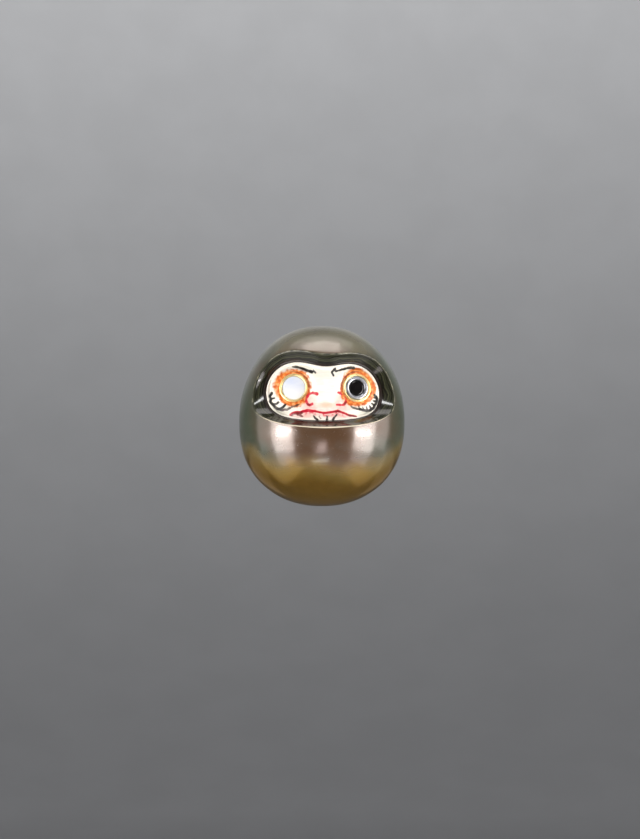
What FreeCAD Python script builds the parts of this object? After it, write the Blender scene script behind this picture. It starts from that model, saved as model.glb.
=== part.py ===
import FreeCAD, Part
import Sketcher
import math
import os
import re

# A daruma carved from a dark cultured pearl, in millimetres.
# +Z is up, the doll looks along -Y, and the origin is under the middle of its base.
# The pearl has three layers: nacre outside, a thin dark conchiolin layer, and a white shell
# bead in the middle. A window is cut through the two outer layers, and the face is carved in
# the bead behind it. Both eyes are small inlays set in gold bezels.

V = FreeCAD.Vector
UP = V(0, 0, 1)
BACKWARD = V(0, 1, 0)

doc = FreeCAD.newDocument("daruma")

# ---------------------------------------------------------------- driving dimensions

DIMENSIONS = [
    # the pearl's outside: two half superellipses that meet at the waist
    ("pearl_width", 12.5),
    ("pearl_height", 13.6),
    ("waist_height", 6.3),
    ("upper_roundness", 2.1),
    ("lower_roundness", 2.2),
    # the layers inside it
    ("nucleus_diameter", 10.4),
    ("nucleus_height", 7.3),
    ("conchiolin_thickness", 0.15),
    # the carved face
    ("face_carving_depth", 0.2),
    ("nose_height", 8.2),
    ("nose_half_width", 1.0),
    ("nose_half_height", 0.75),
    ("nose_relief", 0.4),
    ("mouth_height", 7.17),
    ("mouth_half_angle", 28.0),
    ("mouth_groove_radius", 0.1),
    # the eyes, a little off the middle as the carver set them
    ("eye_spacing", 4.75),
    ("eye_offset", 0.05),
    ("eye_height", 8.91),
    ("eye_front", 3.9),
    ("eye_turn_out", 14.0),
    ("eye_turn_up", 8.0),
    ("eye_hollow_diameter", 2.9),
    ("bezel_diameter", 2.18),
    ("bezel_bore", 1.8),
    ("bezel_length", 1.3),
    ("bezel_floor_hole", 0.8),
    ("bezel_floor_thickness", 0.3),
    ("bezel_lip_rounding", 0.08),
    ("bezel_stand_out", 0.08),
    ("inlay_clearance", 0.01),
    ("disc_thickness", 0.92),
    ("disc_edge_rounding", 0.06),
    ("iris_ring_bore", 1.2),
    ("iris_ring_thickness", 1.0),
    ("iris_ring_rounding", 0.1),
    ("pupil_height", 0.98),
    ("pupil_edge_rounding", 0.15),
    # the half-drilled hole for a post
    ("post_hole_diameter", 1.0),
    ("post_hole_end", 0.8),
]

sheet = doc.addObject("Spreadsheet::Sheet", "dimensions")
for row, (alias, value) in enumerate(DIMENSIONS, start=1):
    sheet.set(f"A{row}", alias)
    sheet.set(f"B{row}", str(value))
    sheet.setAlias(f"B{row}", alias)
doc.recompute()


def size(alias):
    return float(sheet.get(alias))


def by_sheet(expression):
    """The expression with each of the sheet's aliases written as a reference to its cell."""
    words = "|".join(alias for alias, value in DIMENSIONS)
    return re.sub(rf"\b({words})\b", r"dimensions.\1", expression)


def bind(target, **expressions):
    """Bind each named property of an object to an expression of the sheet's aliases."""
    for prop, expression in expressions.items():
        target.setExpression(prop, by_sheet(expression))


def evaluate(expression):
    return float(sheet.evalExpression(expression))


# ---------------------------------------------------------------- the pearl's outside


def pearl_radius(height):
    """Radius of the pearl at a height above its base."""
    half_width = size("pearl_width") / 2
    waist = size("waist_height")
    if height >= waist:
        reach = size("pearl_height") - waist
        power = size("upper_roundness")
    else:
        reach = waist
        power = size("lower_roundness")
    offset = min(abs(height - waist) / reach, 1.0)
    return half_width * (1 - offset**power) ** (1 / power)


def meridian_point(angle):
    """Point of the outline at the front; the angle runs from -90 (base) to 90 (top)."""
    half_width = size("pearl_width") / 2
    waist = size("waist_height")
    if angle >= 0:
        reach = size("pearl_height") - waist
        power = size("upper_roundness")
    else:
        reach = waist
        power = size("lower_roundness")
    across = abs(math.cos(math.radians(angle))) ** (2 / power)
    along = abs(math.sin(math.radians(angle))) ** (2 / power)
    return V(0, -half_width * across, waist + math.copysign(reach * along, angle))


def make_pearl_form():
    """Solid of revolution, made as two halves so that its seams run through both openings."""
    top = V(0, 0, size("pearl_height"))
    base = V(0, 0, 0)
    between = [meridian_point(7.5 * step) for step in range(-11, 12)]
    outline = Part.BSplineCurve()
    outline.interpolate(
        Points=[base, *between, top], InitialTangent=V(0, -1, 0), FinalTangent=V(0, 1, 0))
    axis = Part.LineSegment(top, base)
    half_section = Part.Face(Part.Wire([outline.toShape(), axis.toShape()]))
    right_half = half_section.revolve(base, UP, 180)
    left_half = half_section.revolve(base, UP, -180)
    return right_half.fuse(left_half)


pearl_form = doc.addObject("Part::Feature", "pearl_form")
pearl_form.Shape = make_pearl_form()

# ---------------------------------------------------------------- the window's cutter

# Outlines seen from the front, (x, z), from the middle of the chin round the doll's left side
# to the middle of the brow and back round its right side. The rim lies on the pearl's outside,
# and the foot lies on the bead. Both are a little smaller on the doll's left.
RIM = [(0, 6.0), (2.9, 6.2), (4.8, 6.87), (5.28, 8.0), (4.9, 9.6), (3.75, 11.05), (1.95, 11.5),
       (0, 11.38), (-1.95, 11.67), (-3.75, 11.2), (-4.95, 9.65), (-5.33, 8.0), (-4.85, 6.85),
       (-2.9, 6.18)]
FOOT = [(0, 6.48), (2.3, 6.64), (3.67, 7.2), (4.13, 8.35), (3.82, 9.6), (2.9, 10.45),
        (1.6, 10.68), (0, 10.5), (-1.6, 10.8), (-3.0, 10.6), (-3.97, 9.7), (-4.3, 8.4),
        (-3.8, 7.2), (-2.35, 6.62)]
RULINGS = 64
OVERRUN = 0.35
CUTTER_FRONT = V(0, -9.0, 8.6)
CUTTER_BACK = V(0, -1.0, 8.6)


def smooth_loop(points):
    """Smooth closed curve through a list of points."""
    curve = Part.BSplineCurve()
    curve.interpolate(Points=points, PeriodicFlag=True, Parameters=list(range(len(points) + 1)))
    return curve


def outline_points(outline):
    """Evenly spread points on the smooth closed curve through an outline's points."""
    curve = smooth_loop([V(x, 0, z) for x, z in outline])
    return [curve.value(curve.LastParameter * i / RULINGS) for i in range(RULINGS)]


def on_pearl(point):
    return V(point.x, -math.sqrt(pearl_radius(point.z) ** 2 - point.x**2), point.z)


def on_bead(point):
    radius = size("nucleus_diameter") / 2
    rise = point.z - size("nucleus_height")
    return V(point.x, -math.sqrt(radius**2 - point.x**2 - rise**2), point.z)


def make_window_cutter():
    """Ruled wall from rim to foot, run on at both ends and closed by a point at each."""
    rim = [on_pearl(point) for point in outline_points(RIM)]
    foot = [on_bead(point) for point in outline_points(FOOT)]
    outer = [a + (a - b) * OVERRUN for a, b in zip(rim, foot)]
    inner = [b + (b - a) * OVERRUN for a, b in zip(rim, foot)]
    wires = [Part.Wire(smooth_loop(loop).toShape()) for loop in (outer, inner)]
    sections = [Part.Vertex(CUTTER_FRONT), wires[0], wires[1], Part.Vertex(CUTTER_BACK)]
    return Part.makeLoft(sections, True, True)


window_cutter = doc.addObject("Part::Feature", "window_cutter")
window_cutter.Shape = make_window_cutter()

# ---------------------------------------------------------------- the layers


def bead_sphere(name, radius):
    """Sphere round the bead's centre."""
    sphere = doc.addObject("Part::Sphere", name)
    bind(sphere, Radius=radius)
    sphere.setExpression("Placement.Base.z", "dimensions.nucleus_height")
    return sphere


def boolean(kind, name, **operands):
    result = doc.addObject(kind, name)
    for prop, value in operands.items():
        setattr(result, prop, value)
    return result


nucleus_form = bead_sphere("nucleus_form", "nucleus_diameter / 2")
conchiolin_form = bead_sphere("conchiolin_form", "nucleus_diameter / 2 + conchiolin_thickness")
face_floor_form = bead_sphere("face_floor_form", "nucleus_diameter / 2 - face_carving_depth")

post_hole_cutter = doc.addObject("Part::Cylinder", "post_hole_cutter")
post_hole_cutter.Placement = FreeCAD.Placement(V(0, 0, 0), FreeCAD.Rotation(UP, BACKWARD))
bind(post_hole_cutter, Radius="post_hole_diameter / 2", Height="pearl_width")
post_hole_cutter.setExpression("Placement.Base.y", "dimensions.post_hole_end")
post_hole_cutter.setExpression("Placement.Base.z", "dimensions.nucleus_height")

nacre_tools = boolean("Part::MultiFuse", "nacre_tools",
                      Shapes=[conchiolin_form, window_cutter, post_hole_cutter])
nacre_shell = boolean("Part::Cut", "nacre_shell", Base=pearl_form, Tool=nacre_tools)

conchiolin_tools = boolean("Part::MultiFuse", "conchiolin_tools",
                           Shapes=[nucleus_form, window_cutter, post_hole_cutter])
conchiolin_layer = boolean("Part::Cut", "conchiolin_layer",
                           Base=conchiolin_form, Tool=conchiolin_tools)

# ---------------------------------------------------------------- the eyes' places


def eye_rotation(side):
    """Turns +Z to the way an eye looks; side is -1 for the doll's right eye, 1 for its left."""
    out = math.radians(size("eye_turn_out"))
    up = math.radians(size("eye_turn_up"))
    look = V(side * math.sin(out) * math.cos(up), -math.cos(out) * math.cos(up), math.sin(up))
    return FreeCAD.Rotation(UP, look)


def eye_placement(side, behind_front):
    """Placement on an eye's axis, a given distance behind the bezel's front face."""
    rotation = eye_rotation(side)
    across = size("eye_offset") + side * size("eye_spacing") / 2
    front = V(across, -size("eye_front"), size("eye_height"))
    return FreeCAD.Placement(front - rotation.multVec(UP) * behind_front, rotation)


# ---------------------------------------------------------------- the bead and its face

CUT_CLEAR = 3.0

bead_cutters = [
    boolean("Part::Cut", "face_carving", Base=window_cutter, Tool=face_floor_form),
    post_hole_cutter,
]
for side_name, side in (("right", -1), ("left", 1)):
    hollow = doc.addObject("Part::Cylinder", f"{side_name}_eye_hollow")
    bind(hollow, Radius="eye_hollow_diameter / 2")
    hollow.Height = CUT_CLEAR
    hollow.Placement = eye_placement(side, size("bezel_stand_out"))
    bead_cutters.append(hollow)

    seat = doc.addObject("Part::Cylinder", f"{side_name}_eye_seat")
    bind(seat, Radius="bezel_diameter / 2 + inlay_clearance")
    seat.Height = CUT_CLEAR
    seat.Placement = eye_placement(side, size("bezel_length"))
    bead_cutters.append(seat)

mouth_groove = doc.addObject("Part::Torus", "mouth_groove")
bind(mouth_groove, Radius1="nucleus_diameter / 2 - face_carving_depth",
     Radius2="mouth_groove_radius", Angle3="2 * mouth_half_angle")
mouth_turn = FreeCAD.Rotation(UP, -90 - size("mouth_half_angle"))
mouth_groove.Placement = FreeCAD.Placement(V(0, 0, size("mouth_height")), mouth_turn)
bead_cutters.append(mouth_groove)

nose = doc.addObject("Part::Ellipsoid", "nose")
bind(nose, Radius1="nose_half_height", Radius2="nose_half_width", Radius3="nose_relief")
nose_rise = size("nose_height") - size("nucleus_height")
nose_front = math.sqrt((size("nucleus_diameter") / 2) ** 2 - nose_rise**2)
nose.Placement = FreeCAD.Placement(
    V(0, size("nose_relief") - nose_front, size("nose_height")), FreeCAD.Rotation())

bead_tools = boolean("Part::MultiFuse", "bead_tools", Shapes=bead_cutters)
carved_bead = boolean("Part::Cut", "carved_bead", Base=nucleus_form, Tool=bead_tools)
bead_nucleus = boolean("Part::Fuse", "bead_nucleus", Base=carved_bead, Tool=nose)

# ---------------------------------------------------------------- the eyes' set pieces


def turned_body(name, profile, placement):
    """Body turned about its own Z axis from a closed profile of (radius, height) corners."""
    body = doc.addObject("PartDesign::Body", name)
    plane = next(item for item in body.Origin.OriginFeatures if item.Role == "XZ_Plane")
    sketch = body.newObject("Sketcher::SketchObject", f"{name}_profile")
    sketch.AttachmentSupport = [(plane, "")]
    sketch.MapMode = "FlatFace"
    corners = [V(evaluate(radius), evaluate(height), 0) for radius, height in profile]
    count = len(corners)
    for i in range(count):
        sketch.addGeometry(Part.LineSegment(corners[i], corners[(i + 1) % count]), False)
    for i in range(count):
        sketch.addConstraint(Sketcher.Constraint("Coincident", i, 2, (i + 1) % count, 1))
    for i, (radius, height) in enumerate(profile):
        pin_corner(sketch, i, "DistanceX", radius)
        pin_corner(sketch, i, "DistanceY", height)
    turned = body.newObject("PartDesign::Revolution", f"{name}_turned")
    turned.Profile = sketch
    turned.ReferenceAxis = (sketch, ["V_Axis"])
    turned.Angle = 360
    body.Placement = placement
    doc.recompute()
    return body


def pin_corner(sketch, line, direction, expression):
    """Hold the start of a line at a distance from the sketch's origin, set by the sheet."""
    distance = evaluate(expression)
    if distance == 0:
        axis = -2 if direction == "DistanceX" else -1
        sketch.addConstraint(Sketcher.Constraint("PointOnObject", line, 1, axis))
    else:
        index = sketch.addConstraint(Sketcher.Constraint(direction, -1, 1, line, 1, distance))
        sketch.setExpression(f"Constraints[{index}]", by_sheet(expression))


def round_front(body, height, radius):
    """Round the circular edges at the front end of a turned body."""
    front = evaluate(height)
    turned = body.Tip
    names = []
    for number, edge in enumerate(turned.Shape.Edges, start=1):
        is_circle = isinstance(edge.Curve, Part.Circle)
        if is_circle and abs(edge.Curve.Center.z - front) < 1e-6:
            names.append(f"Edge{number}")
    rounding = body.newObject("PartDesign::Fillet", f"{body.Name}_rounding")
    rounding.Base = (turned, names)
    bind(rounding, Radius=radius)
    doc.recompute()


def make_bezel(side_name, side):
    """Open cup with a floor that the inlay rests on."""
    outer = "bezel_diameter / 2"
    bore = "bezel_bore / 2"
    hole = "bezel_floor_hole / 2"
    profile = [
        (hole, "0"), (outer, "0"), (outer, "bezel_length"), (bore, "bezel_length"),
        (bore, "bezel_floor_thickness"), (hole, "bezel_floor_thickness"),
    ]
    placement = eye_placement(side, size("bezel_length"))
    body = turned_body(f"{side_name}_eye_bezel", profile, placement)
    round_front(body, "bezel_length", "bezel_lip_rounding")
    return body


def on_bezel_floor(side):
    return eye_placement(side, size("bezel_length") - size("bezel_floor_thickness"))


def make_flat_inlay(name, side, seat_radius, height, edge_rounding):
    """Flat round inlay with a rounded front edge, a clearance smaller than its seat."""
    edge = f"{seat_radius} - inlay_clearance"
    profile = [("0", "0"), (edge, "0"), (edge, height), ("0", height)]
    body = turned_body(name, profile, on_bezel_floor(side))
    round_front(body, height, edge_rounding)
    return body


def make_disc():
    """Blank mother-of-pearl disc of the right eye."""
    return make_flat_inlay(
        "right_eye_disc", -1, "bezel_bore / 2", "disc_thickness", "disc_edge_rounding")


def make_iris_ring():
    """Silver ring of the left eye."""
    edge = "bezel_bore / 2 - inlay_clearance"
    bore = "iris_ring_bore / 2"
    profile = [
        (bore, "0"), (edge, "0"), (edge, "iris_ring_thickness"), (bore, "iris_ring_thickness"),
    ]
    body = turned_body("left_eye_iris_ring", profile, on_bezel_floor(1))
    round_front(body, "iris_ring_thickness", "iris_ring_rounding")
    return body


def make_pupil():
    """Black stone of the left eye."""
    return make_flat_inlay(
        "left_eye_pupil", 1, "iris_ring_bore / 2", "pupil_height", "pupil_edge_rounding")


# ---------------------------------------------------------------- checks and files

sub_parts = [
    nacre_shell,
    conchiolin_layer,
    bead_nucleus,
    make_bezel("right", -1),
    make_disc(),
    make_bezel("left", 1),
    make_iris_ring(),
    make_pupil(),
]
doc.recompute()

for item in doc.Objects:
    failed = {"Invalid", "Error"} & set(item.State)
    if failed:
        raise RuntimeError(f"{item.Name} did not build: {item.State}")

for sub_part in sub_parts:
    sub_part.Label = sub_part.Name
    shape = sub_part.Shape
    if shape.isNull() or not shape.isValid() or len(shape.Solids) != 1:
        raise RuntimeError(f"{sub_part.Name} is not one valid solid")

os.makedirs("parts", exist_ok=True)
for sub_part in sub_parts:
    sub_part.Shape.exportStep(f"parts/{sub_part.Label}.step")
    print(f"{sub_part.Label}: {sub_part.Shape.Volume:.3f} mm3")
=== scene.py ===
import math

import bpy
import numpy as np
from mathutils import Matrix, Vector, noise


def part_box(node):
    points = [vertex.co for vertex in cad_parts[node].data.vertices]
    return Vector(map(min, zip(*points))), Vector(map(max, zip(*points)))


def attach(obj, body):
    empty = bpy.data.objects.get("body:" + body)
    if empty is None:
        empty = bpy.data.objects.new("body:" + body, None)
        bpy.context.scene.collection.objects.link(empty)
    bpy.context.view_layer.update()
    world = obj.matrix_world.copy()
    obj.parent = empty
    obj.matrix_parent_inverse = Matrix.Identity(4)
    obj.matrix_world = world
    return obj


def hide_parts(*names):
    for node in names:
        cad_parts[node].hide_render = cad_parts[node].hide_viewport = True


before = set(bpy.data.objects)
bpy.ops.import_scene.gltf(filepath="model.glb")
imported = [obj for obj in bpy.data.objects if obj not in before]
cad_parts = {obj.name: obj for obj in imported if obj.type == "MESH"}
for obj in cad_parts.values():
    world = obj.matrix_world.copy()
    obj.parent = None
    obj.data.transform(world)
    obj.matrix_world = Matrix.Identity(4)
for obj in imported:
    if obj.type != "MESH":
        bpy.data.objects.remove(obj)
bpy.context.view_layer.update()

# A daruma carved from a dark pearl. Lengths below are in millimetres and become metres when a
# mesh is made. +Z is up, -Y is the way the doll looks.
MM = 0.001

# ---------------------------------------------------------------- sizes

shell_low, shell_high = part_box("nacre_shell")
bead_low, bead_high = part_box("bead_nucleus")

# The pearl is turned about +Z. It is widest at WAIST_HEIGHT, and each half has its own power.
PEARL_HALF_WIDTH = (shell_high.x - shell_low.x) / 2 / MM
PEARL_HEIGHT = shell_high.z / MM
WAIST_HEIGHT = 6.3
UPPER_POWER = 2.1
LOWER_POWER = 2.2

# The bead inside it and the layer round the bead; neighbours stay SKIN_GAP apart. The face is
# carved FACE_DEPTH into the bead.
BEAD_RADIUS = (bead_high.z - bead_low.z) / 2 / MM
BEAD_CENTRE = np.array([0.0, 0.0, (bead_high.z + bead_low.z) / 2 / MM])
CONCHIOLIN = 0.15
CONCHIOLIN_RADIUS = BEAD_RADIUS + CONCHIOLIN
FACE_DEPTH = 0.2
SKIN_GAP = 0.004

# The hole drilled from behind, on the Y axis through the bead's centre. It flares a little at
# the skin, its straight wall starts at HOLE_MOUTH and it ends in the bead at HOLE_END.
HOLE_RADIUS = 0.5
HOLE_FLARE = 0.0744
HOLE_MOUTH = 6.13
HOLE_END = 0.8
PEARL_BACK = 6.2

# The eyes: two equal bezels, the places of their fronts' middles, and what sits in them.
EYE_SPACING = 4.75
EYE_OFFSET = 0.05
EYE_HEIGHT = 8.91
EYE_FRONT = 3.9
EYE_TURN_OUT = math.radians(14)
EYE_TURN_UP = math.radians(8)
BEZEL_RADIUS = 1.09
BEZEL_BORE = 0.9
BEZEL_LENGTH = 1.3
BEZEL_FLOOR = 0.3
BEZEL_STAND_OUT = 0.08
INLAY_RADIUS = 0.89
DISC_THICKNESS = 0.92
IRIS_BORE = 0.6
IRIS_THICKNESS = 1.0
PUPIL_RADIUS = 0.59
PUPIL_HEIGHT = 0.98
PUPIL_ROUNDING = 0.15

# The stage: a round floor far below the doll, which sweeps up into a backdrop.
FLOOR_DROP = 80.0
FLOOR_RADIUS = 420.0
SWEEP_RADIUS = 260.0

# Outlines seen from the front, (x, z), from the middle of the chin round the doll's left side:
# the window's rim on the pearl's outside, and its foot on the bead.
RIM = [(0, 6.0), (2.9, 6.2), (4.8, 6.87), (5.28, 8.0), (4.9, 9.6), (3.75, 11.05), (1.95, 11.5),
       (0, 11.38), (-1.95, 11.67), (-3.75, 11.2), (-4.95, 9.65), (-5.33, 8.0), (-4.85, 6.85),
       (-2.9, 6.18)]
FOOT = [(0, 6.48), (2.3, 6.64), (3.67, 7.2), (4.13, 8.35), (3.82, 9.6), (2.9, 10.45),
        (1.6, 10.68), (0, 10.5), (-1.6, 10.8), (-3.0, 10.6), (-3.97, 9.7), (-4.3, 8.4),
        (-3.8, 7.2), (-2.35, 6.62)]

# ---------------------------------------------------------------- small tools


def smoothstep(low, high, value):
    """Smooth rise from 0 at low to 1 at high; low may be the larger one."""
    t = np.clip((value - low) / (high - low), 0.0, 1.0)
    return t * t * (3 - 2 * t)


def linear(red, green, blue):
    """Linear colour from the 0 to 255 values of a colour as it is seen."""
    seen = np.array([red, green, blue]) / 255
    return np.where(seen <= 0.04045, seen / 12.92, ((seen + 0.055) / 1.055) ** 2.4)


def rgba(red, green, blue):
    """The same for a shader's colour socket."""
    return (*linear(red, green, blue), 1.0)


def closed_spline(points, count):
    """Points evenly spread in parameter on the smooth closed curve through the given points."""
    points = np.array(points, float)
    n = len(points)
    system = 4 * np.eye(n) + np.roll(np.eye(n), 1, 0) + np.roll(np.eye(n), -1, 0)
    bend = np.linalg.solve(
        system, 6 * (np.roll(points, 1, 0) - 2 * points + np.roll(points, -1, 0)))
    at = np.arange(count) * n / count
    i = at.astype(int)
    j = (i + 1) % n
    s = (at - i)[:, None]
    r = 1 - s
    return (r * points[i] + s * points[j]
            + ((r**3 - r) * bend[i] + (s**3 - s) * bend[j]) / 6)


def pearl_radius(z):
    """Radius of the pearl at height z."""
    upper = z >= WAIST_HEIGHT
    reach = np.where(upper, PEARL_HEIGHT - WAIST_HEIGHT, WAIST_HEIGHT)
    power = np.where(upper, UPPER_POWER, LOWER_POWER)
    offset = np.clip(np.abs(z - WAIST_HEIGHT) / reach, 0, 1)
    return PEARL_HALF_WIDTH * (1 - offset**power) ** (1 / power)


def on_pearl(outline):
    """The (x, z) outline laid on the front of the pearl."""
    x, z = outline[:, 0], outline[:, 1]
    return np.stack([x, -np.sqrt(pearl_radius(z) ** 2 - x**2), z], 1)


def sphere_front(x, z, radius):
    """Y of the front of a sphere about the bead's centre."""
    return -np.sqrt(radius**2 - x**2 - (z - BEAD_CENTRE[2]) ** 2)


def on_bead(outline):
    """The (x, z) outline laid on the front of the bead."""
    x, z = outline[:, 0], outline[:, 1]
    return np.stack([x, sphere_front(x, z, BEAD_RADIUS), z], 1)


def out_to_pearl(direction):
    """Where rays from the bead's centre leave the pearl, found by halving."""
    near = np.full(len(direction), BEAD_RADIUS)
    far = np.full(len(direction), PEARL_HEIGHT)
    for _ in range(40):
        middle = (near + far) / 2
        point = BEAD_CENTRE + direction * middle[:, None]
        high = np.clip(point[:, 2], 0, PEARL_HEIGHT)
        inside = (np.hypot(point[:, 0], point[:, 1]) < pearl_radius(high)) & (
            point[:, 2] == high)
        near = np.where(inside, middle, near)
        far = np.where(inside, far, middle)
    return BEAD_CENTRE + direction * near[:, None]


def make_object(name, vertices, faces, materials, face_materials=None):
    """Mesh object in metres from points in millimetres."""
    mesh = bpy.data.meshes.new(name)
    mesh.from_pydata((np.asarray(vertices) * MM).tolist(), [], faces)
    for material in materials:
        mesh.materials.append(material)
    if face_materials is not None:
        mesh.polygons.foreach_set("material_index", face_materials)
    mesh.polygons.foreach_set("use_smooth", [True] * len(mesh.polygons))
    mesh.validate()
    mesh.update()
    obj = bpy.data.objects.new(name, mesh)
    bpy.context.scene.collection.objects.link(obj)
    return obj


def ring_quads(loops, around, closed=True):
    """Quads between neighbouring loops of points; closed joins the last loop to the first."""
    faces = []
    last = loops if closed else loops - 1
    for row in range(last):
        a = row * around
        b = ((row + 1) % loops) * around
        for i in range(around):
            j = (i + 1) % around
            faces.append((a + i, a + j, b + j, b + i))
    return faces


def end_fans(loops, around):
    """Triangles from the first and the last loop to two points that follow all the loops."""
    faces = []
    total = loops * around
    last = total - around
    for i in range(around):
        j = (i + 1) % around
        faces.append((total, j, i))
        faces.append((last + i, last + j, total + 1))
    return faces


def finish_piece(obj, node):
    """The piece stands for a CAD node and rides on the only body."""
    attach(obj, "root")
    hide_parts(node)
    return obj


# ---------------------------------------------------------------- node helpers


class Nodes:
    """Builds one material's node tree with short calls."""

    def __init__(self, name):
        self.material = bpy.data.materials.new(name)
        self.material.use_nodes = True
        self.tree = self.material.node_tree
        self.shader = self.tree.nodes["Principled BSDF"]

    def add(self, kind, **settings):
        node = self.tree.nodes.new(kind)
        for key, value in settings.items():
            setattr(node, key, value)
        return node

    def link(self, source, target):
        self.tree.links.new(source, target)

    def set(self, **values):
        """Values or links for the shader's sockets, with _ for each space in a name."""
        for name, value in values.items():
            socket = self.shader.inputs[name.replace("_", " ")]
            if isinstance(value, bpy.types.NodeSocket):
                self.link(value, socket)
            else:
                socket.default_value = value

    def position(self):
        """Object coordinates in millimetres."""
        coordinates = self.add("ShaderNodeTexCoord")
        scale = self.add("ShaderNodeVectorMath", operation="SCALE")
        scale.inputs["Scale"].default_value = 1 / MM
        self.link(coordinates.outputs["Object"], scale.inputs[0])
        return scale.outputs["Vector"]

    def split(self, vector):
        node = self.add("ShaderNodeSeparateXYZ")
        self.link(vector, node.inputs[0])
        return node.outputs

    def math(self, operation, first, second=0.0):
        node = self.add("ShaderNodeMath", operation=operation)
        for socket, value in zip(node.inputs, (first, second)):
            if isinstance(value, bpy.types.NodeSocket):
                self.link(value, socket)
            else:
                socket.default_value = value
        return node.outputs[0]

    def noise(self, vector, scale, detail=4.0, roughness=0.5, distortion=0.0):
        node = self.add("ShaderNodeTexNoise")
        node.inputs["Scale"].default_value = scale
        node.inputs["Detail"].default_value = detail
        node.inputs["Roughness"].default_value = roughness
        node.inputs["Distortion"].default_value = distortion
        self.link(vector, node.inputs["Vector"])
        return node.outputs["Fac"]

    def stretch(self, vector, x, y, z):
        node = self.add("ShaderNodeVectorMath", operation="MULTIPLY")
        node.inputs[1].default_value = (x, y, z)
        self.link(vector, node.inputs[0])
        return node.outputs["Vector"]

    def range(self, value, low, high, to_low=0.0, to_high=1.0, smooth=True):
        node = self.add("ShaderNodeMapRange")
        node.interpolation_type = "SMOOTHSTEP" if smooth else "LINEAR"
        for name, number in (("From Min", low), ("From Max", high),
                             ("To Min", to_low), ("To Max", to_high)):
            node.inputs[name].default_value = number
        self.link(value, node.inputs["Value"])
        return node.outputs["Result"]

    def ramp(self, value, *stops):
        node = self.add("ShaderNodeValToRGB")
        elements = node.color_ramp.elements
        while len(elements) < len(stops):
            elements.new(0.5)
        for element, (place, colour) in zip(elements, stops):
            element.position = place
            element.color = colour
        self.link(value, node.inputs["Fac"])
        return node.outputs["Color"]

    def mix(self, factor, first, second, blend="MIX"):
        node = self.add("ShaderNodeMix", data_type="RGBA", blend_type=blend)
        for socket, value in ((node.inputs[0], factor), (node.inputs[6], first),
                              (node.inputs[7], second)):
            if isinstance(value, bpy.types.NodeSocket):
                self.link(value, socket)
            else:
                socket.default_value = value
        return node.outputs[2]

    def bump(self, height, strength, distance):
        node = self.add("ShaderNodeBump")
        node.inputs["Strength"].default_value = strength
        node.inputs["Distance"].default_value = distance * MM
        self.link(height, node.inputs["Height"])
        self.link(node.outputs["Normal"], self.shader.inputs["Normal"])


# ---------------------------------------------------------------- materials


def nacre_material():
    """Grown nacre: bronze in front, olive on top, gold underneath, with painted green sheen and
    shade at the sides.
    """
    n = Nodes("nacre_skin")
    place = n.position()
    x, y, z = n.split(place)
    drift = n.noise(place, 0.22, detail=3.0)
    cloud = n.noise(n.stretch(place, 1.0, 1.0, 1.8), 0.75, detail=5.0, roughness=0.6)

    bronze = rgba(86, 62, 40)
    side_sheen_and_shade = rgba(64, 72, 56)
    olive_gold = rgba(156, 130, 62)
    golden_brown = rgba(128, 96, 20)
    dusk = rgba(80, 72, 60)
    olive = rgba(112, 108, 86)

    # where one tone gives way to the next, in millimetres, with the noise to blur the border
    side = n.math("ABSOLUTE", x)
    side = n.math("ADD", side, n.range(drift, 0.3, 0.7, -1.0, 1.0))
    high = n.math("ADD", z, n.range(drift, 0.3, 0.7, -0.7, 0.7))
    tone = n.mix(n.range(high, 10.5, 12.5), bronze, olive)
    # painted sheen and shade: green grey at the sides, for the green overtone and the darker
    # edges
    tone = n.mix(n.range(side, 2.6, 5.4), tone, side_sheen_and_shade)
    tone = n.mix(n.range(cloud, 0.4, 0.75, 0.0, 0.35), tone, dusk)
    low = n.math("ADD", z, n.math("MULTIPLY", n.math("ABSOLUTE", y), 0.28))
    low = n.math("ADD", low, n.range(drift, 0.3, 0.7, -0.5, 0.5))
    gilt = n.range(low, 5.7, 3.3)
    tone = n.mix(gilt, tone, olive_gold)
    tone = n.mix(n.range(low, 4.4, 2.7), tone, golden_brown)
    mottle = n.noise(place, 1.7, detail=6.0, roughness=0.7)
    mottle = n.math("MULTIPLY", n.range(mottle, 0.4, 0.7, 0.0, 0.4), gilt)
    tone = n.mix(mottle, tone, rgba(150, 112, 40))

    # growth rings, and small dark pits
    rings = n.noise(n.stretch(place, 0.35, 0.35, 9.0), 1.0, detail=3.0, distortion=0.4)
    specks = n.noise(place, 9.0, detail=2.0, roughness=0.4)
    speck_mask = n.range(specks, 0.70, 0.76)
    tone = n.mix(n.math("MULTIPLY", speck_mask, 0.35), tone, rgba(60, 50, 40))

    n.set(Base_Color=tone, Metallic=n.range(gilt, 0.0, 1.0, 0.25, 0.95))
    edge_tint = n.mix(gilt, (1.0, 1.0, 1.0, 1.0), rgba(250, 230, 190))
    n.set(Specular_Tint=edge_tint)
    n.set(Roughness=n.range(cloud, 0.3, 0.7, 0.19, 0.25), IOR=2.0)
    n.set(Coat_Weight=n.range(gilt, 0.0, 1.0, 0.2, 0.35), Coat_Roughness=0.08, Coat_IOR=1.53)
    fine = n.noise(place, 4.0, detail=3.0)
    height = n.math("ADD", n.math("MULTIPLY", rings, 0.5), n.math("MULTIPLY", fine, 0.25))
    height = n.math("SUBTRACT", height, n.math("MULTIPLY", speck_mask, 0.6))
    n.bump(height, 0.25, 0.03)
    return n.material


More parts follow.
